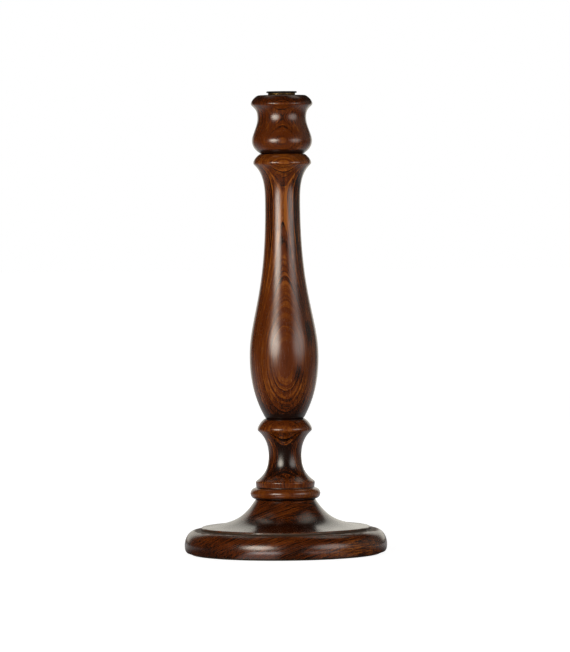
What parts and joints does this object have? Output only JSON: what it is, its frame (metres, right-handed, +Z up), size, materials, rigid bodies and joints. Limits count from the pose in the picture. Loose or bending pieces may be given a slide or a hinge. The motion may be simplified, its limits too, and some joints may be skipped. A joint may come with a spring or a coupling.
{
  "type": "table lamp base",
  "caption": "Turned timber table lamp base: round foot, spool pedestal, baluster and head on a threaded tube, with a seat plate for a lampholder.",
  "frame": {"origin": "centre of the foot's felt, on the surface that the lamp stands on", "axes": "+Z up along the lamp's axis, +Y towards the back, where the flex comes in"},
  "size_m": [0.1864, 0.1862, 0.4248],
  "materials": {
    "foot_timber": "semi-gloss",
    "pedestal_timber": "semi-gloss",
    "baluster_timber": "semi-gloss",
    "head_timber": "semi-gloss",
    "zinc_steel": "satin",
    "brass": "aged",
    "blackened_steel": "satin",
    "black_nylon": "satin",
    "white_nylon": "satin",
    "felt": "matt"
  },
  "bodies": {
    "root": {"foot": "foot_timber", "pedestal": "pedestal_timber", "baluster": "baluster_timber", "head": "head_timber", "threaded_tube": "zinc_steel", "tube_ferrule": "white_nylon", "foot_washer": "zinc_steel", "foot_lock_washer": "zinc_steel", "foot_nut": "zinc_steel", "head_washer": "zinc_steel", "head_nut": "zinc_steel", "brass_collar": "brass", "seat_plate": "blackened_steel", "flex_bush": "black_nylon", "felt_pad": "felt"}
  },
  "joints": []
}
